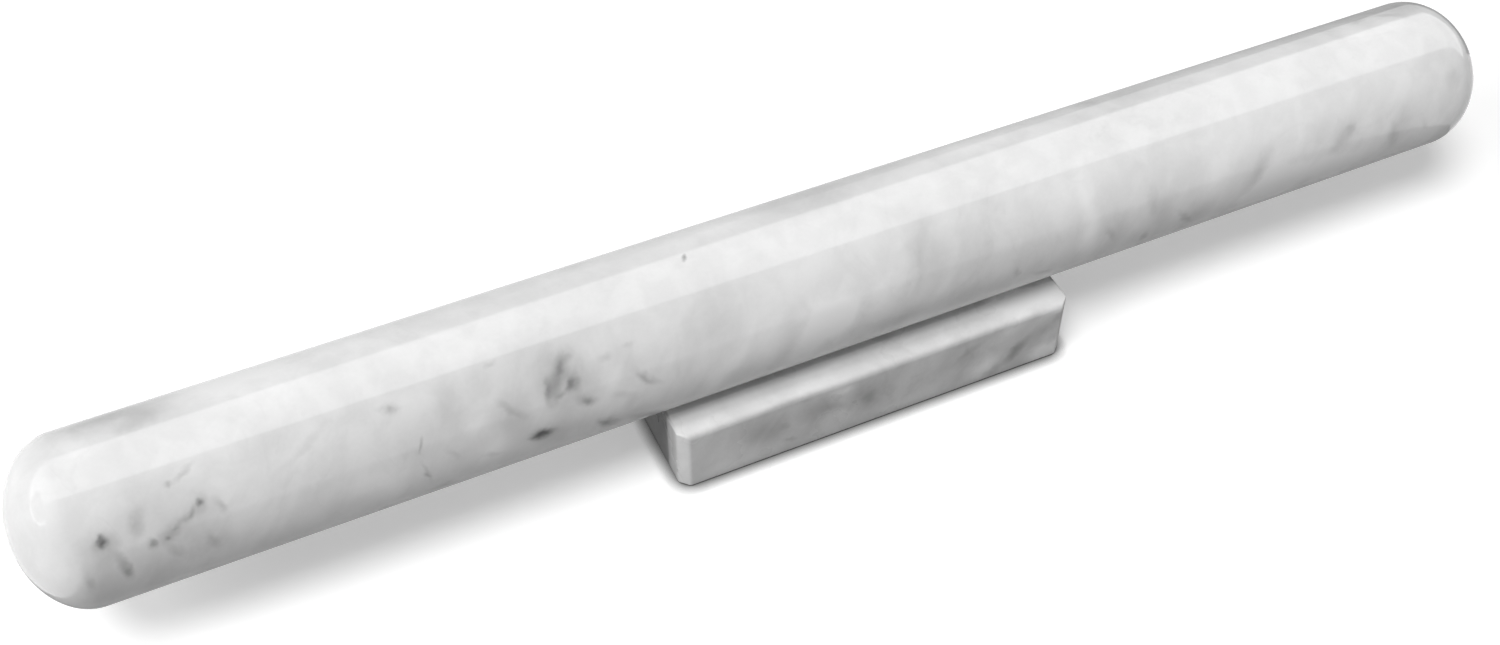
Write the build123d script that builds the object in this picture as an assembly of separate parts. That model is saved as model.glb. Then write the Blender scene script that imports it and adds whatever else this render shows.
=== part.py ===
from build123d import *
import os

# A solid stone rolling pin and the stone stand that it lies across, in millimetres.
# The origin is on the surface that the stand rests on, under the middle of the pin.
# X runs along the pin, Y across it, and Z is up.

# Rolling pin
pin_length = 400.0
pin_diameter = 41.3
dome_depth = 15.0  # along X, from the end of the straight barrel to the tip

# Stand
stand_length = 112.0
stand_width = 46.0
stand_height = 20.0
stand_shift = 7.1  # from the pin's middle to the stand's middle, along X
cradle_depth = 3.6  # from the stand's top face to the bottom of its cradle
corner_chamfer = 2.4  # the four upright corners
top_round = 1.8  # the two long outer edges of the top face
rim_round = 2.0  # the two long edges where the cradle meets the top face
end_round = 0.6  # the edges around both ends and around the corner chamfers
foot_chamfer = 0.5  # the edges around the underside

# Clearance between the barrel and the cradle, the same all along the cradle's arc
seat_gap = 0.3

# Weights that make a three-point Bezier curve an exact quarter of an ellipse
quarter_ellipse = (1, 0.5**0.5, 1)

# Derived sizes and places
pin_radius = pin_diameter / 2
barrel_length = pin_length - 2 * dome_depth
cradle_radius = pin_radius + seat_gap
cradle_floor_height = stand_height - cradle_depth
pin_axis_height = cradle_floor_height + cradle_radius


def rolling_pin():
    """A straight barrel with a flattened dome at each end, turned from one blank."""
    with BuildPart() as pin:
        with BuildSketch(Plane.XZ):
            with BuildLine():
                Line((-barrel_length / 2, pin_radius), (barrel_length / 2, pin_radius))
                for side in (-1, 1):
                    shoulder = (side * barrel_length / 2, pin_radius)
                    corner = (side * pin_length / 2, pin_radius)
                    tip = (side * pin_length / 2, 0)
                    Bezier(shoulder, corner, tip, weights=quarter_ellipse)
                Line((-pin_length / 2, 0), (pin_length / 2, 0))
            make_face()
        revolve(axis=Axis.X)
    return Pos(Z=pin_axis_height) * pin.part


def stand():
    """A sawn block with chamfered corners, eased edges and a cradle that fits the barrel."""
    with BuildPart() as block:
        # The shape across the pin, the same all along the block
        with BuildSketch(Plane.YZ) as section:
            with Locations((0, stand_height / 2)):
                Rectangle(stand_width, stand_height)
            fillet(section.vertices().group_by(Axis.Y)[-1], radius=top_round)
            with Locations((0, pin_axis_height)):
                Circle(cradle_radius, mode=Mode.SUBTRACT)
            rims = section.vertices().group_by(Axis.Y)[-1].sort_by(Axis.X)[1:-1]
            fillet(rims, radius=rim_round)
        extrude(amount=stand_length / 2, both=True)
        # The outline from above, which cuts the four upright corners off
        with BuildSketch() as outline:
            Rectangle(stand_length, stand_width)
            chamfer(outline.vertices(), length=corner_chamfer)
        extrude(amount=stand_height, mode=Mode.INTERSECT)
        underside = block.faces().sort_by(Axis.Z)[0]
        chamfer(underside.edges(), length=foot_chamfer)
        # Above the foot, all that doesn't run along the block is an edge of an end or of a corner
        above_foot = block.edges().filter_by(lambda edge: edge.bounding_box().max.Z > 1.5 * foot_chamfer)
        fillet(above_foot - above_foot.filter_by(Axis.X), radius=end_round)
    return Pos(X=stand_shift) * block.part


os.makedirs("parts", exist_ok=True)
export_step(rolling_pin(), "parts/rolling_pin.step")
export_step(stand(), "parts/stand.step")
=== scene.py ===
import math

import bmesh
import bpy
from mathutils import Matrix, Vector


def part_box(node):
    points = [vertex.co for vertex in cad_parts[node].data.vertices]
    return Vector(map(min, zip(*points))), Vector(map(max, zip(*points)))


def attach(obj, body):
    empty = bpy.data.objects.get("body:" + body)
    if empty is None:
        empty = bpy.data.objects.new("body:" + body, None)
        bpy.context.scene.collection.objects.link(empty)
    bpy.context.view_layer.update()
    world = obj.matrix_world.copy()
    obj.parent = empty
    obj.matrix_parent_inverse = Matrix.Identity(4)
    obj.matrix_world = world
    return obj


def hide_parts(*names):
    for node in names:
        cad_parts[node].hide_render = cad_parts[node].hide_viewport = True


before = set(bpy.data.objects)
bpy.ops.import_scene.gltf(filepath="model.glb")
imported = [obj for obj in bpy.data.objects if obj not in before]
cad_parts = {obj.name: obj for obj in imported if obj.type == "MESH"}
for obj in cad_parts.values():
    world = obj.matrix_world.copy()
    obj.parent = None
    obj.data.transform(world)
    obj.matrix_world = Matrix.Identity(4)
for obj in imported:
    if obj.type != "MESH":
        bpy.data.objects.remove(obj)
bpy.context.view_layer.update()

# A polished marble rolling pin on a low marble stand, on a pale floor under soft studio light.
# The origin is on the floor under the middle of the pin. X runs along the pin, Y across it, and Z is up.

bl_info = {
    "name": "Marble rolling pin",
    "version": (1, 0, 0),
    "blender": (4, 5, 0),
    "location": "3D View > Sidebar > Rolling pin",
    "description": "Models a marble rolling pin and its stand, and sets them on a plain studio stage",
    "category": "Object",
}

MM = 0.001  # metres in a millimetre
HAIR = 0.001 * MM  # points nearer to each other than this are one
CAD_PIN = "rolling_pin"
CAD_STAND = "stand"
PIN_BODY = "pin"
STAND_BODY = "stand"

pin_low, pin_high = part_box(CAD_PIN)
stand_low, stand_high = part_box(CAD_STAND)


# ---------------------------------------------------------------- settings

class PinSettings(bpy.types.PropertyGroup):
    """The rolling pin's sizes and stone"""

    length: bpy.props.FloatProperty(
        name="Length",
        description="From tip to tip",
        default=pin_high.x - pin_low.x,
        unit="LENGTH",
    )
    diameter: bpy.props.FloatProperty(
        name="Diameter",
        description="Across the barrel",
        default=pin_high.z - pin_low.z,
        unit="LENGTH",
    )
    dome_depth: bpy.props.FloatProperty(
        name="Dome depth",
        description="From the end of the straight barrel to the tip",
        default=15 * MM,
        unit="LENGTH",
    )
    axis_height: bpy.props.FloatProperty(
        name="Axis height",
        description="From the floor to the middle of the barrel",
        default=(pin_low.z + pin_high.z) / 2,
        unit="LENGTH",
    )
    sides: bpy.props.IntProperty(
        name="Sides",
        description="Faces around the barrel",
        default=160,
        min=24,
    )
    dome_rings: bpy.props.IntProperty(
        name="Dome rings",
        description="Rings of faces from the barrel to each tip",
        default=40,
        min=8,
    )
    barrel_cuts: bpy.props.IntProperty(
        name="Barrel cuts",
        description="Cuts across each half of the barrel",
        default=39,
        min=0,
    )
    pale_stone: bpy.props.FloatVectorProperty(
        name="Pale stone",
        description="The lightest of the pin's marble",
        default=(0.92, 0.92, 0.92, 1.0),
        size=4,
        subtype="COLOR",
    )
    dark_stone: bpy.props.FloatVectorProperty(
        name="Dark stone",
        description="The darkest flecks and veins of the pin's marble",
        default=(0.10, 0.10, 0.10, 1.0),
        size=4,
        subtype="COLOR",
    )
    polish: bpy.props.FloatProperty(
        name="Roughness",
        description="Roughness of the polished stone",
        default=0.08,
        min=0.02,
        max=1.0,
    )


class StandSettings(bpy.types.PropertyGroup):
    """The stand's sizes and stone"""

    length: bpy.props.FloatProperty(
        name="Length",
        description="Along the pin",
        default=stand_high.x - stand_low.x,
        unit="LENGTH",
    )
    width: bpy.props.FloatProperty(
        name="Width",
        description="Across the pin",
        default=stand_high.y - stand_low.y,
        unit="LENGTH",
    )
    height: bpy.props.FloatProperty(
        name="Height",
        description="From the floor to the top face",
        default=stand_high.z - stand_low.z,
        unit="LENGTH",
    )
    middle: bpy.props.FloatProperty(
        name="Middle",
        description="Place of the stand's middle along the pin",
        default=(stand_low.x + stand_high.x) / 2,
        unit="LENGTH",
    )
    cradle_gap: bpy.props.FloatProperty(
        name="Cradle gap",
        description="Clearance between the barrel and its cradle",
        default=0.3 * MM,
        unit="LENGTH",
    )
    corner_chamfer: bpy.props.FloatProperty(
        name="Corner chamfer",
        description="Cut off each of the four upright corners",
        default=2.4 * MM,
        unit="LENGTH",
    )
    top_round: bpy.props.FloatProperty(
        name="Top round",
        description="Radius of the top face's two long outer edges",
        default=1.8 * MM,
        unit="LENGTH",
    )
    rim_round: bpy.props.FloatProperty(
        name="Rim round",
        description="Radius of the two edges where the cradle meets the top face",
        default=2.0 * MM,
        unit="LENGTH",
    )
    end_ease: bpy.props.FloatProperty(
        name="End ease",
        description="Width taken off the edges of the ends and of the corner chamfers",
        default=0.5 * MM,
        unit="LENGTH",
    )
    foot_chamfer: bpy.props.FloatProperty(
        name="Foot chamfer",
        description="Width taken off the edges around the underside",
        default=0.5 * MM,
        unit="LENGTH",
    )
    pale_stone: bpy.props.FloatVectorProperty(
        name="Pale stone",
        description="The lightest of the stand's marble",
        default=(0.88, 0.88, 0.88, 1.0),
        size=4,
        subtype="COLOR",
    )
    dark_stone: bpy.props.FloatVectorProperty(
        name="Dark stone",
        description="The darkest veins of the stand's marble",
        default=(0.12, 0.12, 0.12, 1.0),
        size=4,
        subtype="COLOR",
    )
    polish: bpy.props.FloatProperty(
        name="Roughness",
        description="Roughness of the honed stone",
        default=0.28,
        min=0.02,
        max=1.0,
    )


class StageSettings(bpy.types.PropertyGroup):
    """The camera, the floor and the lamps"""

    floor_size: bpy.props.FloatProperty(
        name="Floor size",
        description="Side of the square floor",
        default=60.0,
        unit="LENGTH",
    )
    floor_tone: bpy.props.FloatProperty(
        name="Floor tone",
        description="How much of the light the floor gives back",
        default=0.86,
    )
    floor_bounce: bpy.props.FloatProperty(
        name="Floor bounce",
        description="How much of the light the floor throws onto the underside of the pieces",
        default=0.48,
    )
    floor_glow: bpy.props.FloatProperty(
        name="Floor glow",
        description="Added to the floor where it is seen or mirrored, to make it white",
        default=0.33,
    )
    fill: bpy.props.FloatProperty(
        name="Fill",
        description="Level of the even light from all around",
        default=0.20,
    )
    key_power: bpy.props.FloatProperty(
        name="Key lamp",
        description="Power of the large lamp overhead, in watts",
        default=102.0,
    )
    side_power: bpy.props.FloatProperty(
        name="Side lamp",
        description="Power of the round lamp beyond the near end, in watts",
        default=24.5,
    )
    band_level: bpy.props.FloatProperty(
        name="Band level",
        description="Brightness of the long pale band and of the dish's rim, which the pin mirrors",
        default=3.0,
    )


# ---------------------------------------------------------------- modelling by hand

def deselect_all():
    """Leave edit mode and deselect everything"""
    if bpy.context.object and bpy.context.object.mode != "OBJECT":
        bpy.ops.object.mode_set(mode="OBJECT")
    bpy.ops.object.select_all(action="DESELECT")


def select_part(piece, kind, chosen):
    """In edit mode, select only the vertices, edges or faces for which chosen is true"""
    bpy.ops.mesh.select_mode(type=kind)
    bpy.ops.mesh.select_all(action="DESELECT")
    mesh = bmesh.from_edit_mesh(piece.data)
    parts = {"VERT": mesh.verts, "EDGE": mesh.edges, "FACE": mesh.faces}[kind]
    for part in parts:
        part.select_set(chosen(part))
    bmesh.update_edit_mesh(piece.data)


def finish_piece(piece, body, node, material):
    """Close and orient the mesh, put it at the origin, and set it in its node's place"""
    bpy.ops.object.mode_set(mode="EDIT")
    bpy.ops.mesh.select_all(action="SELECT")
    bpy.ops.mesh.remove_doubles(threshold=HAIR)
    bpy.ops.mesh.normals_make_consistent(inside=False)
    bpy.ops.object.mode_set(mode="OBJECT")
    bpy.ops.object.transform_apply(location=True, rotation=True, scale=True)
    piece.data.materials.clear()
    piece.data.materials.append(material)
    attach(piece, body)
    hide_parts(node)


def model_pin(size):
    """A ball flattened to the depth of a dome, whose halves are pulled apart to make room for the barrel"""
    deselect_all()
    radius = size.diameter / 2
    half_barrel = size.length / 2 - size.dome_depth
    middle = (0, 0, size.axis_height)
    bpy.ops.mesh.primitive_uv_sphere_add(
        segments=size.sides,
        ring_count=2 * size.dome_rings,
        radius=radius,
        location=middle,
        rotation=(0, math.pi / 2, 0),
    )
    pin = bpy.context.object
    pin.name = "marble_pin"
    bpy.ops.object.transform_apply(location=True, rotation=True, scale=True)
    bpy.ops.object.mode_set(mode="EDIT")
    bpy.ops.mesh.select_all(action="SELECT")
    bpy.ops.transform.resize(value=(size.dome_depth / radius, 1, 1), center_override=middle)
    for side in (-1, 1):
        select_part(pin, "FACE", lambda face: side * face.calc_center_median().x > 0)
        bpy.ops.mesh.extrude_region_move(TRANSFORM_OT_translate={"value": (side * half_barrel, 0, 0)})
    select_part(pin, "EDGE", lambda edge: edge.calc_length() > half_barrel / 2)
    bpy.ops.mesh.subdivide(number_cuts=size.barrel_cuts)
    bpy.ops.object.mode_set(mode="OBJECT")
    bpy.ops.object.shade_smooth()
    return pin


def arc(centre, radius, start, stop, steps):
    """Points on an arc from start to stop, in degrees from +Y towards +Z"""
    angles = [math.radians(start + (stop - start) * step / steps) for step in range(steps + 1)]
    return [(centre[0] + radius * math.cos(a), centre[1] + radius * math.sin(a)) for a in angles]


def stand_top(size, pin):
    """The stand's top in section, from front to back: round, flat, rim, cradle, rim, flat, round"""
    cradle = pin.diameter / 2 + size.cradle_gap
    rim_z = size.height - size.rim_round
    reach = cradle + size.rim_round
    drop = pin.axis_height - rim_z
    rim_y = math.sqrt(reach**2 - drop**2)
    lean = math.degrees(math.atan2(rim_y, drop))  # of the line from the pin's axis to the rim's centre
    round_y = size.width / 2 - size.top_round
    round_z = size.height - size.top_round
    front = arc((-round_y, round_z), size.top_round, 180, 90, 6)
    front_rim = arc((-rim_y, rim_z), size.rim_round, 90, 90 - lean, 5)
    bed = arc((0, pin.axis_height), cradle, 270 - lean, 270, 16)
    half = front + front_rim + bed[1:]
    return half + [(-y, z) for y, z in reversed(half[:-1])]


def model_stand(size, pin):
    """A block whose top is cut into rows that are moved onto its section, with chamfered and eased edges"""
    deselect_all()
    bpy.ops.mesh.primitive_cube_add(
        size=1,
        location=(size.middle, 0, size.height / 2),
        scale=(size.length, size.width, size.height),
    )
    stand = bpy.context.object
    stand.name = "marble_stand"
    bpy.ops.object.transform_apply(location=True, rotation=True, scale=True)
    top = stand_top(size, pin)

    def at_top_across(edge):
        a, b = (vert.co for vert in edge.verts)
        return min(a.z, b.z) > size.height - HAIR and abs(a.x - b.x) < HAIR

    bpy.ops.object.mode_set(mode="EDIT")
    select_part(stand, "EDGE", at_top_across)
    bpy.ops.mesh.subdivide(number_cuts=len(top) - 2)
    mesh = bmesh.from_edit_mesh(stand.data)
    upper = sorted((vert.co.y, vert.index) for vert in mesh.verts if vert.co.z > size.height - HAIR)
    rows = [{index for _, index in upper[2 * row:2 * row + 2]} for row in range(len(top))]
    for row, (y, z) in enumerate(top):
        step = -size.width / 2 + size.width * row / (len(top) - 1)
        select_part(stand, "VERT", lambda vert: vert.index in rows[row])
        bpy.ops.transform.translate(value=(0, y - step, z - size.height))

    for end in (-1, 1):
        for side in (-1, 1):
            across = Vector((end, side, 0)).normalized()
            cut = (
                size.middle + end * (size.length - size.corner_chamfer) / 2,
                side * (size.width - size.corner_chamfer) / 2,
                0,
            )
            bpy.ops.mesh.select_mode(type="FACE")
            bpy.ops.mesh.select_all(action="SELECT")
            bpy.ops.mesh.bisect(plane_co=cut, plane_no=across, use_fill=True, clear_outer=True)

    select_part(stand, "EDGE", lambda edge: max(vert.co.z for vert in edge.verts) < HAIR)
    bpy.ops.mesh.bevel(offset=size.foot_chamfer, segments=1, clamp_overlap=False)

    def across_above_foot(edge):
        a, b = (vert.co for vert in edge.verts)
        lengthwise = abs(a.x - b.x) > 0.999 * (a - b).length
        return max(a.z, b.z) > 1.5 * size.foot_chamfer and not lengthwise

    select_part(stand, "EDGE", across_above_foot)
    bpy.ops.mesh.bevel(offset=size.end_ease, segments=3, clamp_overlap=False)
    bpy.ops.object.mode_set(mode="OBJECT")
    bpy.ops.object.shade_smooth_by_angle(angle=math.radians(32))
    return stand


# ---------------------------------------------------------------- materials

def new_tree(name):
    """A material with an empty node tree"""
    material = bpy.data.materials.new(name)
    material.use_nodes = True
    material.node_tree.nodes.clear()
    return material, material.node_tree


def add(tree, kind, inputs=None, **settings):
    """A node with its settings, and its inputs set to values or joined to other nodes' outputs"""
    node = tree.nodes.new(kind)
    for name, value in settings.items():
        setattr(node, name, value)
    for name, value in (inputs or {}).items():
        socket = node.inputs[name]
        if isinstance(value, bpy.types.NodeSocket):
            tree.links.new(value, socket)
        else:
            socket.default_value = value
    return node


def calc(tree, operation, *inputs):
    """The result of one step of maths"""
    return add(tree, "ShaderNodeMath", dict(enumerate(inputs)), operation=operation).outputs[0]


def calc_vector(tree, operation, *inputs):
    """The result of one step of vector maths"""
    return add(tree, "ShaderNodeVectorMath", dict(enumerate(inputs)), operation=operation).outputs["Vector"]


def ramp(tree, value, start, stop, low=0.0, high=1.0):
    """A soft step from low at start to high at stop"""
    return add(tree, "ShaderNodeMapRange", {
        "Value": value,
        "From Min": start,
        "From Max": stop,
        "To Min": low,
        "To Max": high,
    }, interpolation_type="SMOOTHSTEP").outputs["Result"]


def noise(tree, place, grain, detail=2.0, distortion=0.0):
    """The texture node of a noise whose lumps are grain millimetres across, for a place in millimetres"""
    return add(tree, "ShaderNodeTexNoise", {
        "Vector": place,
        "Scale": 1 / grain,
        "Detail": detail,
        "Distortion": distortion,
    })


def new_group(name, inputs, outputs):
    """A shader node group with its inputs, given by their defaults, and outputs, given by their kinds"""
    group = bpy.data.node_groups.new(name, "ShaderNodeTree")
    for label, default in inputs.items():
        kind = "NodeSocketVector" if isinstance(default, tuple) else "NodeSocketFloat"
        socket = group.interface.new_socket(name=label, in_out="INPUT", socket_type=kind)
        socket.default_value = default
    for label, kind in outputs.items():
        group.interface.new_socket(name=label, in_out="OUTPUT", socket_type=kind)
    return group, group.nodes.new("NodeGroupInput").outputs, group.nodes.new("NodeGroupOutput").inputs


def mark_group():
    """One fleck, streak or cloud of the stone: a turned oval with a soft edge, added to those before it"""
    group, given, result = new_group("stone mark", {
        "Place": (0.0, 0.0, 0.0),
        "Centre": (0.0, 0.0, 0.0),
        "Size": (1.0, 1.0, 1.0),
        "Turn": 0.0,
        "Strength": 0.5,
        "Before": 0.0,
    }, {"After": "NodeSocketFloat"})
    offset = calc_vector(group, "SUBTRACT", given["Place"], given["Centre"])
    turned = add(group, "ShaderNodeVectorRotate", {
        "Vector": offset,
        "Angle": calc(group, "MULTIPLY", given["Turn"], -1.0),
    }, rotation_type="Z_AXIS").outputs["Vector"]
    fitted = calc_vector(group, "DIVIDE", turned, given["Size"])
    away = add(group, "ShaderNodeVectorMath", {0: fitted}, operation="LENGTH").outputs["Value"]
    inside = ramp(group, away, 1.0, 0.0)
    after = calc(group, "MULTIPLY_ADD", inside, given["Strength"], given["Before"])
    group.links.new(after, result["After"])
    return group


def uneven_group():
    """Shifts a place a little, in large and in small lumps, to give the marks on it a natural outline"""
    group, given, result = new_group("uneven outline", {
        "Place": (0.0, 0.0, 0.0),
        "Position": (0.0, 0.0, 0.0),
        "Large shift": 1.1,
        "Small shift": 0.4,
    }, {"Place": "NodeSocketVector"})
    place = given["Place"]
    swing = 4.0  # the noise strays by about a quarter, so this makes of a shift of 1 about a millimetre
    for grain, amount in ((11.0, given["Large shift"]), (2.2, given["Small shift"])):
        lumps = noise(group, given["Position"], grain).outputs["Color"]
        centred = calc_vector(group, "SUBTRACT", lumps, (0.5, 0.5, 0.5))
        shift = add(group, "ShaderNodeVectorMath", {
            0: centred,
            "Scale": calc(group, "MULTIPLY", amount, swing),
        }, operation="SCALE").outputs["Vector"]
        place = calc_vector(group, "ADD", place, shift)
    flat = calc_vector(group, "MULTIPLY", place, (1.0, 1.0, 0.0))
    group.links.new(flat, result["Place"])
    return group


def marbling_group():
    """The clouds, wisps and crystals that run all through the stone, from -1 to 1"""
    group, given, result = new_group("marbling", {
        "Position": (0.0, 0.0, 0.0),
        "Clouds": 0.5,
        "Wisps": 0.4,
        "Crystals": 0.1,
    }, {"Shade": "NodeSocketFloat"})
    leaning = add(group, "ShaderNodeMapping", {
        "Vector": given["Position"],
        "Rotation": (0.2, 0.5, 0.0),
        "Scale": (1.0, 1.3, 3.0),
    }, vector_type="TEXTURE").outputs["Vector"]
    shade = 0.0
    for place, grain, detail, distortion, amount in (
        (given["Position"], 22.0, 4.0, 0.5, given["Clouds"]),
        (leaning, 6.0, 3.0, 0.4, given["Wisps"]),
        (given["Position"], 0.9, 1.0, 0.0, given["Crystals"]),
    ):
        lumps = noise(group, place, grain, detail, distortion).outputs["Fac"]
        level = ramp(group, lumps, 0.3, 0.7, -1.0, 1.0)
        shade = calc(group, "MULTIPLY_ADD", level, amount, shade)
    group.links.new(shade, result["Shade"])
    return group


def vein_group():
    """Thin grey veins and clusters of dark flecks, scattered through the stone"""
    group, given, result = new_group("veins and flecks", {
        "Position": (0.0, 0.0, 0.0),
        "Vein width": 0.03,
        "Veins": 0.3,
        "Flecks": 0.5,
    }, {"Shade": "NodeSocketFloat"})
    region = noise(group, given["Position"], grain=48.0, detail=1.0).outputs["Fac"]
    stretched = calc_vector(group, "MULTIPLY", given["Position"], (1.0, 0.8, 0.8))
    bends = noise(group, stretched, grain=42.0, detail=5.0, distortion=1.4).outputs["Fac"]
    across = calc(group, "ABSOLUTE", calc(group, "SUBTRACT", bends, 0.5))
    vein = ramp(group, across, given["Vein width"], 0.0)
    vein = calc(group, "MULTIPLY", vein, ramp(group, region, 0.40, 0.60))
    vein = calc(group, "MULTIPLY", vein, given["Veins"])
    lumps = noise(group, given["Position"], grain=5.5, detail=3.0, distortion=0.5).outputs["Fac"]
    fleck = ramp(group, lumps, 0.60, 0.74)
    fleck = calc(group, "MULTIPLY", fleck, ramp(group, region, 0.54, 0.62))
    shade = calc(group, "MULTIPLY_ADD", fleck, given["Flecks"], vein)
    group.links.new(shade, result["Shade"])
    return group


def polish_group():
    """A ground and polished face: faint waves, and a gloss that is a little duller on the marks"""
    group, given, result = new_group("polish", {
        "Position": (0.0, 0.0, 0.0),
        "Marks": 0.0,
        "Roughness": 0.12,
        "Wave height": 0.01,
    }, {"Roughness": "NodeSocketFloat", "Normal": "NodeSocketVector"})
    patches = noise(group, given["Position"], grain=14.0, detail=3.0).outputs["Fac"]
    dull = calc(group, "MULTIPLY_ADD", patches, 0.3, 0.85)
    dull = calc(group, "MULTIPLY_ADD", given["Marks"], 0.25, dull)
    group.links.new(calc(group, "MULTIPLY", given["Roughness"], dull), result["Roughness"])
    waves = noise(group, given["Position"], grain=9.0).outputs["Fac"]
    bump = add(group, "ShaderNodeBump", {
        "Strength": 1.0,
        "Distance": calc(group, "MULTIPLY", given["Wave height"], MM),
        "Height": waves,
    })
    group.links.new(bump.outputs["Normal"], result["Normal"])
    return group


GROUPS = {}  # the shared node groups, by the names of the functions that build them


def effect(tree, make, inputs):
    """The outputs of a node of a shared group, which is built the first time that it is used"""
    name = make.__name__
    if name not in GROUPS:
        GROUPS[name] = make()
    return add(tree, "ShaderNodeGroup", inputs, node_tree=GROUPS[name]).outputs


def place_in_mm(tree, height=0.0):
    """The place on the piece in millimetres, measured from a height over the floor"""
    return add(tree, "ShaderNodeMapping", {
        "Vector": add(tree, "ShaderNodeTexCoord").outputs["Object"],
        "Location": (0.0, 0.0, -height / MM),
        "Scale": (1 / MM, 1 / MM, 1 / MM),
    }).outputs["Vector"]


def add_marks(tree, place, marks, before):
    """Marks, each given by its centre, half length and half width in millimetres, turn and strength"""
    for x, y, half_length, half_width, turn, strength in marks:
        before = effect(tree, mark_group, {
            "Place": place,
            "Centre": (x, y, 0.0),
            "Size": (half_length, half_width, 1.0),
            "Turn": math.radians(turn),
            "Strength": strength,
            "Before": before,
        })["After"]
    return before


def finish_stone(tree, shade, marks, position, look, wave_height):
    """From the stone's shade, 0 where it is palest and 1 where it is darkest, to its finished surface"""
    # inputs 0, 6 and 7 are the factor and the colours at its two ends, and output 2 is their mixture
    colour = add(tree, "ShaderNodeMix", {0: shade, 6: look.pale_stone, 7: look.dark_stone}, data_type="RGBA")
    face = effect(tree, polish_group, {
        "Position": position,
        "Marks": marks,
        "Roughness": look.polish,
        "Wave height": wave_height,
    })
    stone = add(tree, "ShaderNodeBsdfPrincipled", {
        "Base Color": colour.outputs[2],
        "Roughness": face["Roughness"],
        "Normal": face["Normal"],
        "IOR": 1.5,
    })
    add(tree, "ShaderNodeOutputMaterial", {"Surface": stone.outputs["BSDF"]})


# The pin's marks lie where the photograph shows them. Each mark: along from the pin's middle, degrees round
# from the top towards the front, half length, half width, turn in degrees, and strength. A turn of 90 runs
# round the bar, and one of -45 climbs towards the far end. A strength below zero is a pale mark.
PIN_CLOUDS = (
    # the broad shades: greyer in front on the near half, paler on the far half
    (-100, 54, 84, 19, 0, 0.10), (-174, 72, 26, 20, 0, 0.11), (-176, 100, 24, 10, 0, 0.06),
    (140, 48, 84, 20, 0, -0.06), (148, 94, 56, 14, 0, -0.12), (172, -28, 40, 11, 0, 0.14),
    # the grey patch on the near end's top, and the pale stone beside it
    (-172, -34, 18, 11, 0, 0.32), (-163, -16, 7, 6, 20, 0.16), (-146, -25, 15, 13, 0, -0.18),
    (-120, -25, 18, 12, 0, -0.06), (-180, -12, 12, 8, 0, -0.10), (-194, -18, 8, 9, 0, -0.06),
    # painted light: the first mark on the next line is a long pale strip along the whole upper back of the
    # bar
    (0, -24, 215, 7, 0, -0.09), (-134, -12, 7, 14, 0, -0.12),
    # the near end's front
    (-182, 80, 9, 11, 0, 0.09), (-163, 70, 12, 13, -30, 0.12), (-142, 36, 14, 5, -20, 0.05),
    (-168, 43, 11, 9, 0, 0.12), (-182, 62, 6, 6, 0, 0.10), (-172, 84, 8, 7, 30, 0.08),
    (-158, 60, 7, 6, -40, 0.08), (-120, 84, 14, 9, 0, -0.10), (-136, 92, 11, 7, 0, 0.04),
    (-148, 55, 9, 7, 0, -0.03), (-178, 90, 7, 8, 0, -0.07), (-158, 84, 9, 6, -20, 0.12),
    # round the cluster
    (-101, 46, 5, 12, 0, 0.12), (-94, 72, 5, 12, 10, -0.08), (-96, 90, 7, 5, 0, -0.10),
    (-87, 64, 6, 13, 0, 0.14), (-74.5, 56, 10, 13, -60, 0.28), (-78, 30, 18, 9, 0, 0.12),
    (-94, 36, 6, 9, 0, 0.09), (-66, 4, 16, 13, 0, 0.06), (-60, 58, 5, 9, 0, 0.08),
    (-98, 62, 7, 9, 0, -0.07), (-34, 46, 17, 13, 0, 0.14), (-110, 46, 6, 12, 0, -0.04),
    (-78, 92, 12, 7, 0, 0.17), (-60, 106, 13, 7, 0, 0.18), (-62, 66, 5, 7, 0, -0.06),
    # the pale streaks towards the middle
    (-36, 92, 5, 14, 40, -0.14), (-24, 76, 12, 8, -50, -0.10), (-12, 92, 9, 14, 20, -0.15),
    (-6, 76, 13, 10, 0, -0.24), (8, 73, 7, 10, 15, -0.14), (-25, 55, 12, 8, -40, -0.04),
    # the grey patches on the middle's top, and the pale stone after them
    (-1, -28, 24, 13, 0, 0.24), (22, -29, 14, 9, 0, 0.18), (-62, -33, 6, 6, 0, 0.09),
    (48, -26, 13, 10, 0, -0.13),
    # over the stand and a little beyond it
    (21, 50, 8, 17, 0, 0.12), (34, 68, 15, 11, 0, 0.08), (13, 99, 12, 4.5, 0, 0.14),
    (30, 100, 16, 7, 0, 0.10), (67, 76, 4.5, 22, 0, -0.14), (62, 42, 18, 9, 0, -0.08),
    (71, 30, 8, 10, 0, -0.07), (82, 100, 6, 6, 0, 0.08), (76, 82, 6, 9, 0, 0.12),
    (88, 78, 8, 10, 20, 0.14), (92, -26, 14, 10, 0, 0.12), (83, -30, 6, 6, 0, 0.14),
    # the far end
    (107, 62, 9, 18, 15, -0.12), (126, 98, 14, 10, -20, -0.26), (124, 92, 14, 12, 0, -0.10),
    (146, 102, 12, 8, 0, -0.16), (118, 80, 11, 7, -62, 0.05), (122, 96, 17, 10, 0, -0.14),
    (138, 60, 6, 7, 0, 0.07), (178, 98, 6, 8, 0, -0.12), (134, 58, 9, 7, -30, -0.06),
    (100, 98, 7, 9, 40, 0.14), (142, 94, 9, 9, -20, -0.06), (146, 72, 9, 6, -35, 0.12),
    (165, 84, 6, 12, 20, 0.14), (182, -22, 14, 9, 0, 0.20), (184, 52, 4, 6, 20, 0.12),
    (162, -20, 6, 9, 0, -0.10), (154, -14, 6, 9, 0, -0.08),
)
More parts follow.
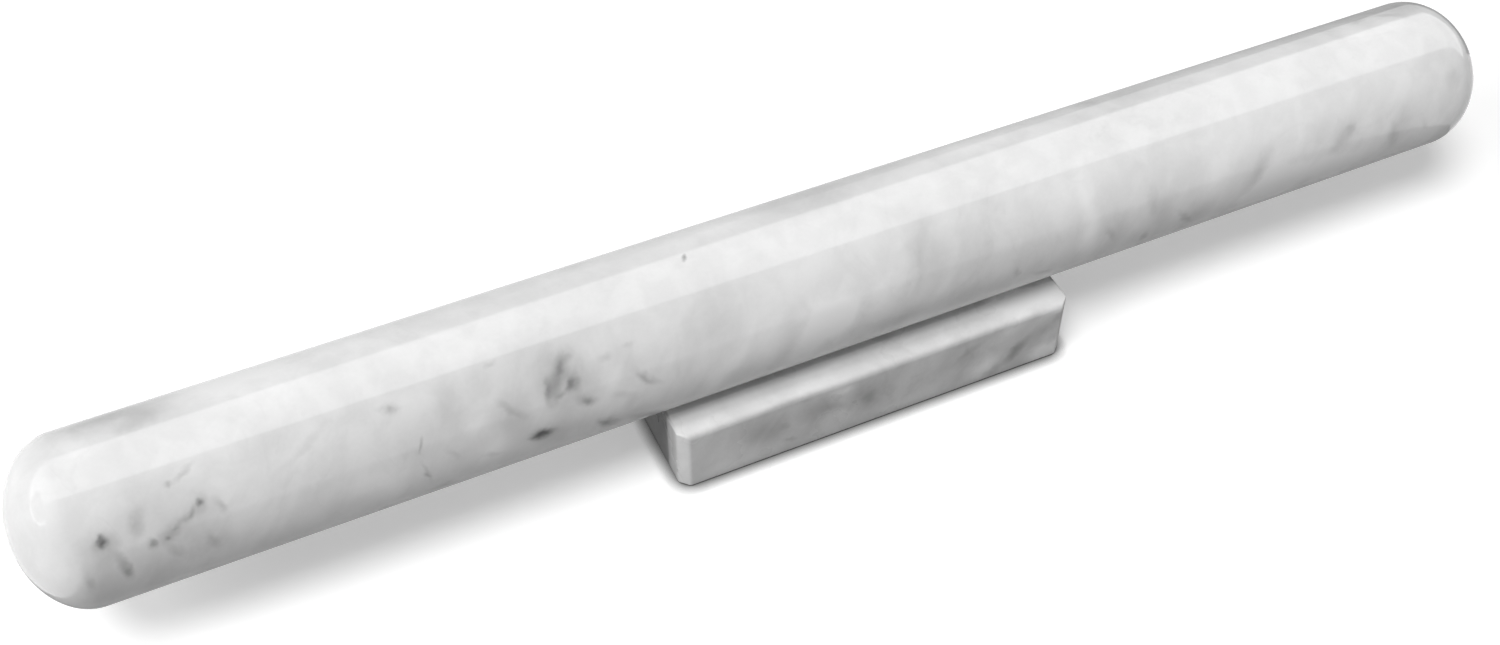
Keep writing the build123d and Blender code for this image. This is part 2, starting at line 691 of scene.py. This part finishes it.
PIN_STREAKS = (
    # soft specks on the near end's front
    (-178, 80, 6.0, 2.0, 75, 0.26), (-186, 82, 4.0, 1.8, 80, 0.16), (-160, 35, 4.5, 1.3, -30, 0.18),
    (-172, 57, 5.5, 2.2, -55, 0.20), (-155, 61, 3.0, 1.7, 70, 0.20), (-167, 80, 5.0, 2.2, 70, 0.13),
    (-159, 82, 5.0, 2.0, 75, 0.12), (-166, 65, 6.5, 2.6, -30, 0.22), (-159, 56, 4.0, 2.0, -45, 0.20),
    (-134, 40, 11.0, 1.5, -28, 0.09), (-168, -10, 5.0, 2.6, 0, 0.12), (-180, 62, 4.5, 3.4, -20, 0.22),
    (-171, 70, 3.0, 1.8, -70, 0.18), (-114, 37, 3.0, 2.2, 30, 0.16),
    # the long cluster of flecks in front, and what trails off it
    (-74, 46, 6.0, 3.0, -65, 0.20), (-77.5, 58, 6.5, 2.8, -75, 0.24), (-72, 60, 5.0, 2.6, -80, 0.20),
    (-70, 74, 3.6, 2.2, 10, 0.26), (-88, 62, 6.5, 1.5, 55, 0.14), (-62, 80, 4.5, 1.8, 30, 0.12),
    (-55, 72, 6.2, 1.9, 48, 0.24), (-60, 88, 4.5, 2.4, -40, 0.12), (-64, 50, 2.8, 1.8, -20, 0.14),
    (-58, 47, 2.4, 1.6, 0, 0.12), (-110, 90, 6.0, 1.1, 88, 0.14), (-103, 80, 4.5, 1.3, 60, 0.10),
    (-107, 112, 5.5, 2.2, 0, 0.24), (-66, 103, 5.5, 2.4, 45, 0.28), (-56, 113, 7.0, 3.6, 20, 0.28),
    (-47, 70, 1.4, 9.0, 8, 0.06), (-95, 94, 3.4, 1.3, 20, 0.14), (-82, 90, 5.2, 2.6, -4, 0.28),
    # slanting streaks towards the far end
    (119, 77, 10.5, 4.0, -58, 0.20), (146, 74, 7.0, 2.6, -40, 0.12), (149, 67, 2.6, 1.8, -50, 0.12),
    (86, 70, 2.4, 7.0, 0, 0.09), (97, 98, 7.5, 1.8, 55, 0.17), (85, 105, 4.0, 2.0, 80, 0.18),
    (46, 93, 2.8, 1.6, 70, 0.16), (54, 103, 5.5, 1.6, 25, 0.14), (164, 86, 7.5, 2.2, 70, 0.13),
    (174, 84, 5.5, 1.6, 60, 0.10), (18, 66, 1.8, 10.0, 20, 0.07), (74, 88, 5.0, 1.9, 60, 0.12),
    (176, -14, 6.0, 1.8, 20, 0.16), (168, -20, 5.0, 2.0, -10, 0.16),
)
PIN_FLECKS = (
    # the dark spot near the end, and the chain of specks beyond it
    (-180, 61, 2.2, 1.9, -60, 0.40), (-180.5, 57.5, 1.3, 1.0, -80, 0.22), (-164, 38, 1.7, 1.4, -20, 0.23),
    (-170.5, 70, 2.2, 1.2, -70, 0.19), (-167.5, 68.5, 1.1, 1.0, -30, 0.22), (-165, 63, 1.5, 1.1, -30, 0.13),
    (-161.5, 58.5, 2.2, 1.2, -55, 0.26), (-159, 55, 1.7, 1.2, -35, 0.33), (-163, 60, 2.0, 1.1, -20, 0.13),
    (-177.3, 85, 1.7, 1.4, 70, 0.17), (-114, 37, 1.8, 1.5, 60, 0.14), (-116, 34, 1.4, 1.1, 0, 0.09),
    (-109.5, 66, 3.0, 0.8, -80, 0.22), (-110.5, 93, 1.6, 1.2, 70, 0.19),
    # the cluster, its dark oblong neighbour and the low streak
    (-71.5, 43, 2.2, 1.6, -30, 0.10), (-74.5, 48, 3.2, 1.6, -60, 0.10), (-78.7, 58, 4.1, 1.4, -78, 0.17),
    (-73.2, 61, 3.0, 1.4, -60, 0.22), (-76, 64.5, 2.5, 1.2, -10, 0.19), (-70, 74.5, 2.3, 1.5, 20, 0.13),
    (-82, 90, 4.1, 1.8, -6, 0.36), (-84.5, 91, 2.1, 1.2, 0, 0.14), (-67, 102, 2.5, 1.2, 40, 0.20),
    (-37, 0, 0.9, 1.5, 10, 0.54), (-56, 70, 2.5, 1.0, 45, 0.09), (-90, 29, 2.1, 0.9, 0, 0.12),
)


def pin_stone(look):
    """Polished white marble with soft grey clouds, slanting streaks and a few dark flecks"""
    material, tree = new_tree("polished white marble")
    position = place_in_mm(tree, look.axis_height)
    axes = add(tree, "ShaderNodeSeparateXYZ", {0: position}).outputs
    towards_front = calc(tree, "MULTIPLY", axes["Y"], -1.0)
    angle = calc(tree, "ARCTAN2", towards_front, axes["Z"])
    radius = look.diameter / 2 / MM
    round_the_bar = calc(tree, "MULTIPLY", angle, radius)
    unrolled = add(tree, "ShaderNodeCombineXYZ", {0: axes["X"], 1: round_the_bar}).outputs["Vector"]
    outline = effect(tree, uneven_group, {"Place": unrolled, "Position": position})["Place"]

    def on_bar(marks):
        return [(x, math.radians(degrees) * radius, *rest) for x, degrees, *rest in marks]

    # the back and the underside, which the photograph doesn't show, have veins and flecks of their own
    shown_middle = math.radians(43)  # of the side that the photograph shows, from the top towards the front
    facing = calc(tree, "COSINE", calc(tree, "SUBTRACT", angle, shown_middle))
    turned_away = ramp(tree, facing, 0.14, -0.12, 0.1, 1.0)
    veins = effect(tree, vein_group, {
        "Position": position,
        "Vein width": 0.025,
        "Veins": 0.22,
        "Flecks": 0.35,
    })["Shade"]
    marks = calc(tree, "MULTIPLY", veins, turned_away)
    marks = add_marks(tree, outline, on_bar(PIN_FLECKS), marks)
    marks = add_marks(tree, outline, on_bar(PIN_STREAKS), marks)
    plain_shade = 0.15
    clouds = add_marks(tree, outline, on_bar(PIN_CLOUDS), plain_shade)
    marbling = effect(tree, marbling_group, {
        "Position": position,
        "Clouds": 0.034,
        "Wisps": 0.034,
        "Crystals": 0.006,
    })["Shade"]
    shade = calc(tree, "ADD", calc(tree, "ADD", clouds, marks), marbling)
    finish_stone(tree, shade, marks, position, look, wave_height=0.006)
    return material


# The stand's marks: along from the pin's middle, up the front from the floor and on over the top, half
# length, half width, turn in degrees, and strength. A turn of 90 runs up the front.
STAND_CLOUDS = (
    (-42, 9, 11, 11, 0, -0.04), (-26, 12, 10, 8, -30, 0.24), (-20, 15, 4, 4, 0, 0.08),
    (-10, 13, 11, 6, -10, 0.22), (3, 11, 9, 8, 70, 0.24), (-3, 16.5, 4.5, 2.4, 0, -0.16),
    (27, 10, 10, 4, 0, 0.06), (44, 17, 12, 4, 35, -0.12), (57, 3, 10, 5.5, 0, -0.40),
    # painted light: the last mark on the next line, at (52, 26), is a pale patch on the top beside the
    # cradle at the far end, where the pin's shade is shorter
    (20, 13, 9, 7, 0, -0.05), (38, 6, 8, 6, 20, -0.22), (52, 26, 15, 7, 0, -0.24),
    (14, 4, 14, 4, 0, -0.10), (-36, 3, 14, 3, 0, -0.06), (-20, 27, 26, 6, 0, 0.07),
    (20, 18, 7, 3, 0, -0.08), (58, 19, 6, 3, 0, -0.26), (-17, 19, 15, 2.4, 0, 0.16),
    # painted light: the first mark on the next line, at (50, 28), is a pale strip on the top beside the
    # cradle at the far end
    (50, 28, 12, 3, 0, -0.34), (57, 12, 10, 15, 0, -0.16), (40, 5, 8, 8, 0, -0.10),
    (33, 12, 6, 4, 30, 0.08),
)
STAND_STREAKS = (
    (41, 3.5, 6.0, 2.8, 45, 0.22), (48, 8.5, 7.0, 3.0, 48, 0.32), (55, 12, 8.0, 5.0, 42, 0.26),
    (61, 17, 5.5, 3.0, 55, 0.22), (-19, 5, 3.5, 1.8, -15, 0.16), (-20, 11.5, 3.2, 2.2, 0, 0.12),
    (-5, 10, 7.5, 2.2, -30, 0.12), (4, 10.5, 5.0, 3.2, 60, 0.12), (33, 14, 9.0, 2.0, 35, 0.10),
)


def stand_stone(look):
    """Grey-veined marble, ground and lightly polished, with light and shade painted into its colour"""
    material, tree = new_tree("ground grey marble")
    position = place_in_mm(tree)
    axes = add(tree, "ShaderNodeSeparateXYZ", {0: position}).outputs
    length = look.length / MM
    width = look.width / MM
    height = look.height / MM
    cut = look.corner_chamfer / MM
    up_and_over = calc(tree, "ADD", axes["Z"], calc(tree, "ADD", axes["Y"], width / 2))
    unfolded = add(tree, "ShaderNodeCombineXYZ", {0: axes["X"], 1: up_and_over}).outputs["Vector"]
    outline = effect(tree, uneven_group, {
        "Place": unfolded,
        "Position": position,
        "Large shift": 1.2,
        "Small shift": 0.4,
    })["Place"]
    veins = effect(tree, vein_group, {
        "Position": position,
        "Vein width": 0.05,
        "Veins": 0.05,
        "Flecks": 0.04,
    })["Shade"]
    marks = add_marks(tree, outline, STAND_STREAKS, veins)
    plain_shade = 0.32
    clouds = add_marks(tree, outline, STAND_CLOUDS, plain_shade)
    marbling = effect(tree, marbling_group, {
        "Position": position,
        "Clouds": 0.05,
        "Wisps": 0.04,
        "Crystals": 0.010,
    })["Shade"]
    shade = calc(tree, "ADD", calc(tree, "ADD", clouds, marks), marbling)

    # light and shade of the photograph, which are painted into the stone
    across = calc(tree, "ABSOLUTE", axes["Y"])
    from_middle = calc(tree, "ABSOLUTE", calc(tree, "SUBTRACT", axes["X"], look.middle / MM))
    towards_corner = calc(tree, "ADD", from_middle, across)
    corner = (length + width) / 2
    pin_shade_edge = 14.4  # how far out from the pin's middle the painted shade beside the cradle ends
    # painted shade: the height up the sides to which the foot is darkened
    foot_shade_height = 1.6
    for place, start, stop, amount in (
        (axes["Z"], height - 0.9, height - 0.1, -0.18),  # painted light: a paler top, where more light falls
        (towards_corner, corner - 1.35 * cut, corner - cut, -0.13),  # painted light: cut corners that are paler too, as if lit from the side
        (across, pin_shade_edge + 0.5, pin_shade_edge - 0.7, 0.20),  # painted shade: a greyer cradle, beside and under the pin
        (axes["Z"], foot_shade_height, 0.0, 0.10),  # painted shade: a greyer foot, at the floor
    ):
        shade = calc(tree, "ADD", shade, ramp(tree, place, start, stop, 0.0, amount))
    # painted shade: the ends are greyer below the pin
    end = ramp(tree, from_middle, length / 2 - 0.9, length / 2 - 0.3)
    shade_below_pin = ramp(tree, across, 22.0, 12.0, 0.0, 0.36)
    shade = calc(tree, "MULTIPLY_ADD", end, shade_below_pin, shade)
    # painted light: a paler strip runs along the top beside the cradle, narrowing the shade there
    lit_strip_inside = ramp(tree, across, pin_shade_edge - 0.2, pin_shade_edge + 0.6)
    lit_strip_outside = ramp(tree, across, pin_shade_edge + 4.0, pin_shade_edge + 2.0, 0.0, -0.15)
    shade = calc(tree, "MULTIPLY_ADD", lit_strip_inside, lit_strip_outside, shade)
    finish_stone(tree, shade, marks, position, look, wave_height=0.012)
    return material


# ---------------------------------------------------------------- stage

def seen_or_mirrored(tree):
    """1 for rays from the camera and for mirrored and passing rays, 0 for the rays that light things"""
    path = add(tree, "ShaderNodeLightPath").outputs
    seen = calc(tree, "MAXIMUM", path["Is Camera Ray"], path["Is Glossy Ray"])
    return calc(tree, "MAXIMUM", seen, path["Is Transmission Ray"])


def add_camera():
    """The photograph's viewing angle"""
    below_level = math.radians(47.914)
    to_the_right = math.radians(24.595)
    camera = bpy.data.cameras.new("camera")
    camera.sensor_width = 36.0
    camera.lens = 41.474
    viewer = bpy.data.objects.new("camera", camera)
    viewer.location = (-0.14258, -0.26892, 0.35413)
    viewer.rotation_euler = (math.pi / 2 - below_level, 0, -to_the_right)
    bpy.context.scene.collection.objects.link(viewer)
    bpy.context.scene.camera = viewer


def add_world(stage):
    """Even light from all around, which is white where it is seen or mirrored"""
    world = bpy.data.worlds.new("studio")
    world.use_nodes = True
    tree = world.node_tree
    tree.nodes.clear()
    shown = seen_or_mirrored(tree)
    level = add(tree, "ShaderNodeMapRange", {"Value": shown, "To Min": stage.fill, "To Max": 1.0})
    air = add(tree, "ShaderNodeBackground", {"Color": (1, 1, 1, 1), "Strength": level.outputs["Result"]})
    add(tree, "ShaderNodeOutputWorld", {"Surface": air.outputs["Background"]})
    bpy.context.scene.world = world


def add_floor(stage):
    """A matt white floor, which darkens close to what stands on it"""
    material, tree = new_tree("matt white board")
    # painted shade: the floor's colour and glow darken within a few millimetres of what stands on it
    beside = add(tree, "ShaderNodeAmbientOcclusion", {"Distance": 4 * MM}, samples=16)
    contact = calc(tree, "POWER", beside.outputs["AO"], 2.2)
    shown = seen_or_mirrored(tree)
    level = add(tree, "ShaderNodeMapRange", {
        "Value": shown,
        "To Min": stage.floor_bounce,
        "To Max": stage.floor_tone,
    })
    # the glow grows where the lamps' light falls off, so that the floor stays white up to its edge
    own = add(tree, "ShaderNodeTexCoord").outputs["Object"]
    far = add(tree, "ShaderNodeVectorMath", {0: own}, operation="LENGTH").outputs["Value"]
    glow = ramp(tree, far, 0.6, 3.0, stage.floor_glow, 1.0)
    board = add(tree, "ShaderNodeBsdfPrincipled", {
        "Base Color": calc(tree, "MULTIPLY", contact, level.outputs["Result"]),
        "Roughness": 1.0,
        "Specular IOR Level": 0.0,
        "Emission Color": (1, 1, 1, 1),
        "Emission Strength": calc(tree, "MULTIPLY", calc(tree, "MULTIPLY", contact, shown), glow),
    })
    add(tree, "ShaderNodeOutputMaterial", {"Surface": board.outputs["BSDF"]})
    deselect_all()
    bpy.ops.mesh.primitive_plane_add(size=stage.floor_size)
    floor = bpy.context.object
    floor.name = "floor"
    floor.data.materials.append(material)


def add_lamp(name, towards, distance, across, power):
    """A round lamp that lights the origin from a direction, and that polished stone doesn't mirror"""
    data = bpy.data.lights.new(name, "AREA")
    data.shape = "DISK"
    data.size = across
    data.energy = power
    lamp = bpy.data.objects.new(name, data)
    direction = Vector(towards).normalized()
    lamp.location = direction * distance
    lamp.rotation_euler = direction.to_track_quat("Z", "Y").to_euler()
    lamp.visible_glossy = False
    lamp.visible_camera = False
    bpy.context.scene.collection.objects.link(lamp)


def mirrored_only(card):
    """Keep a card out of everything but reflections"""
    card.visible_camera = False
    card.visible_diffuse = False
    card.visible_transmission = False
    card.visible_volume_scatter = False
    card.visible_shadow = False


def add_band(stage):
    """A large card above the pin with a long bright band along it, which widens to the right"""
    height = 0.8
    left, right = -1.6, 8.0
    front, back = -1.6, 3.0
    # each edge of the band: its Y where X is 0, how much Y grows with X, and half the width of its step
    front_edge = (-0.181, -0.123, 0.008)
    back_edge = (0.862, 0.138, 0.09)
    material, tree = new_tree("lit card")
    own = add(tree, "ShaderNodeSeparateXYZ", {0: add(tree, "ShaderNodeTexCoord").outputs["Object"]}).outputs
    # the card's own coordinates run over one, so they are stretched to metres
    x = calc(tree, "MULTIPLY_ADD", own["X"], right - left, (right + left) / 2)
    y = calc(tree, "MULTIPLY_ADD", own["Y"], back - front, (back + front) / 2)
    level = stage.band_level - 1.0
    for (at, growth, soft), side in ((front_edge, 1), (back_edge, -1)):
        beyond = calc(tree, "SUBTRACT", y, calc(tree, "MULTIPLY_ADD", x, growth, at))
        level = calc(tree, "MULTIPLY", level, ramp(tree, beyond, -side * soft, side * soft))
    lit = add(tree, "ShaderNodeEmission", {"Strength": calc(tree, "ADD", level, 1.0)})
    add(tree, "ShaderNodeOutputMaterial", {"Surface": lit.outputs["Emission"]})
    deselect_all()
    bpy.ops.mesh.primitive_plane_add(size=1, location=((left + right) / 2, (front + back) / 2, height))
    card = bpy.context.object
    card.name = "band_card"
    card.scale = (right - left, back - front, 1)
    card.data.materials.append(material)
    mirrored_only(card)


def add_dish(stage):
    """A round dish light beyond the near end, of which only the rim's lower half is bright"""
    aimed_at = Vector((-0.19, 0, 0.04))  # inside the near dome
    distance = 1.0
    lift = math.radians(36)
    half_width = math.radians(18)  # from the dish's middle to its rim, seen from there
    radius = distance * math.tan(half_width)
    material, tree = new_tree("dish light")
    own = add(tree, "ShaderNodeTexCoord").outputs["Object"]
    out = add(tree, "ShaderNodeVectorMath", {0: own}, operation="LENGTH").outputs["Value"]
    up = add(tree, "ShaderNodeSeparateXYZ", {0: own}).outputs["Y"]
    rim = calc(tree, "MULTIPLY", ramp(tree, out, 0.80, 0.90), ramp(tree, out, 1.0, 0.96))
    lower = ramp(tree, up, 0.35, -0.25)
    level = calc(tree, "MULTIPLY_ADD", calc(tree, "MULTIPLY", rim, lower), stage.band_level, 1.0)
    lit = add(tree, "ShaderNodeEmission", {"Strength": level})
    add(tree, "ShaderNodeOutputMaterial", {"Surface": lit.outputs["Emission"]})
    deselect_all()
    bpy.ops.mesh.primitive_circle_add(
        vertices=64,
        radius=1,
        fill_type="NGON",
        location=aimed_at + distance * Vector((-math.cos(lift), 0, math.sin(lift))),
        rotation=(math.pi / 2 - lift, 0, -math.pi / 2),
    )
    dish = bpy.context.object
    dish.name = "dish"
    dish.scale = (radius, radius, 1)
    dish.data.materials.append(material)
    mirrored_only(dish)


def add_flag(name, x, near, far, levels):
    """A grey card, from its near edge to its far edge in (y, z), that tones down what the stone mirrors

    Its level goes from the first of the levels on the left to the second on the right.
    """
    material, tree = new_tree(name)
    own = add(tree, "ShaderNodeTexCoord").outputs["Object"]
    along = add(tree, "ShaderNodeSeparateXYZ", {0: own}).outputs["X"]
    lit = add(tree, "ShaderNodeEmission", {"Strength": ramp(tree, along, -0.5, 0.5, *levels)})
    add(tree, "ShaderNodeOutputMaterial", {"Surface": lit.outputs["Emission"]})
    rise, run = far[1] - near[1], far[0] - near[0]
    deselect_all()
    bpy.ops.mesh.primitive_plane_add(
        size=1,
        location=(sum(x) / 2, (near[0] + far[0]) / 2, (near[1] + far[1]) / 2),
        rotation=(math.atan2(rise, run), 0, 0),
    )
    card = bpy.context.object
    card.name = name
    card.scale = (x[1] - x[0], math.hypot(run, rise), 1)
    card.data.materials.append(material)
    mirrored_only(card)


def set_stage(stage):
    """The camera, the even light, the floor, the lamps, and the cards that the polished stone mirrors"""
    add_camera()
    add_world(stage)
    add_floor(stage)
    add_lamp("key", towards=(-0.364, -0.24, 1.0), distance=4.0, across=1.7, power=stage.key_power)
    add_lamp("side", towards=(-0.82, -0.05, 0.57), distance=3.0, across=1.6, power=stage.side_power)
    add_band(stage)
    add_dish(stage)
    # across the floor in front of the pin
    add_flag("front_flag", x=(-0.213, 0.215), near=(-0.5, 0.001), far=(0.024, 0.001), levels=(0.3, 0.3))
    # just over the stand's top: painted shade in the pin's reflection, for the dark beside the cradle
    over_top = 0.0203
    add_flag(
        "stand_flag",
        x=(-0.049, 0.063),
        near=(-0.0235, over_top),
        far=(-0.0112, over_top),
        levels=(0.26, 0.36),
    )
    # beyond the far end
    add_flag("end_flag", x=(0.215, 0.40), near=(-0.06, 0.001), far=(0.10, 0.001), levels=(1.0, 1.0))
    # behind the pin, sloping up
    add_flag("back_flag", x=(-0.20, 0.45), near=(0.03, 0.001), far=(0.5, 0.09), levels=(1.0, 0.15))
    bpy.context.scene.view_settings.view_transform = "Standard"


# ---------------------------------------------------------------- operators

class ROLLINGPIN_OT_turn_pin(bpy.types.Operator):
    """Turn the rolling pin from one bar of white marble"""

    bl_idname = "rolling_pin.turn_pin"
    bl_label = "Turn the rolling pin"

    def execute(self, context):
        size = context.scene.marble_pin
        finish_piece(model_pin(size), PIN_BODY, CAD_PIN, pin_stone(size))
        return {"FINISHED"}


class ROLLINGPIN_OT_cut_stand(bpy.types.Operator):
    """Cut the stand from a sawn slab of grey-veined marble"""

    bl_idname = "rolling_pin.cut_stand"
    bl_label = "Cut the stand"

    def execute(self, context):
        size = context.scene.marble_stand
        stand = model_stand(size, context.scene.marble_pin)
        finish_piece(stand, STAND_BODY, CAD_STAND, stand_stone(size))
        return {"FINISHED"}


class ROLLINGPIN_OT_set_stage(bpy.types.Operator):
    """Set the camera, the floor and the lamps"""

    bl_idname = "rolling_pin.set_stage"
    bl_label = "Set the stage"

    def execute(self, context):
        set_stage(context.scene.marble_stage)
        return {"FINISHED"}


class ROLLINGPIN_PT_sidebar(bpy.types.Panel):
    """Buttons for the pieces and the stage, with their settings"""

    bl_label = "Marble rolling pin"
    bl_idname = "ROLLINGPIN_PT_sidebar"
    bl_space_type = "VIEW_3D"
    bl_region_type = "UI"
    bl_category = "Rolling pin"

    def draw(self, context):
        scene = context.scene
        for operator, settings in (
            (ROLLINGPIN_OT_turn_pin, scene.marble_pin),
            (ROLLINGPIN_OT_cut_stand, scene.marble_stand),
            (ROLLINGPIN_OT_set_stage, scene.marble_stage),
        ):
            box = self.layout.box()
            box.operator(operator.bl_idname)
            for name in settings.__annotations__:
                box.prop(settings, name)


CLASSES = (
    PinSettings,
    StandSettings,
    StageSettings,
    ROLLINGPIN_OT_turn_pin,
    ROLLINGPIN_OT_cut_stand,
    ROLLINGPIN_OT_set_stage,
    ROLLINGPIN_PT_sidebar,
)


def register():
    for cls in CLASSES:
        bpy.utils.register_class(cls)
    bpy.types.Scene.marble_pin = bpy.props.PointerProperty(type=PinSettings)
    bpy.types.Scene.marble_stand = bpy.props.PointerProperty(type=StandSettings)
    bpy.types.Scene.marble_stage = bpy.props.PointerProperty(type=StageSettings)


def unregister():
    del bpy.types.Scene.marble_stage
    del bpy.types.Scene.marble_stand
    del bpy.types.Scene.marble_pin
    for cls in reversed(CLASSES):
        bpy.utils.unregister_class(cls)


def main():
    register()
    bpy.ops.rolling_pin.set_stage()
    bpy.ops.rolling_pin.turn_pin()
    bpy.ops.rolling_pin.cut_stand()


if __name__ == "__main__":
    main()
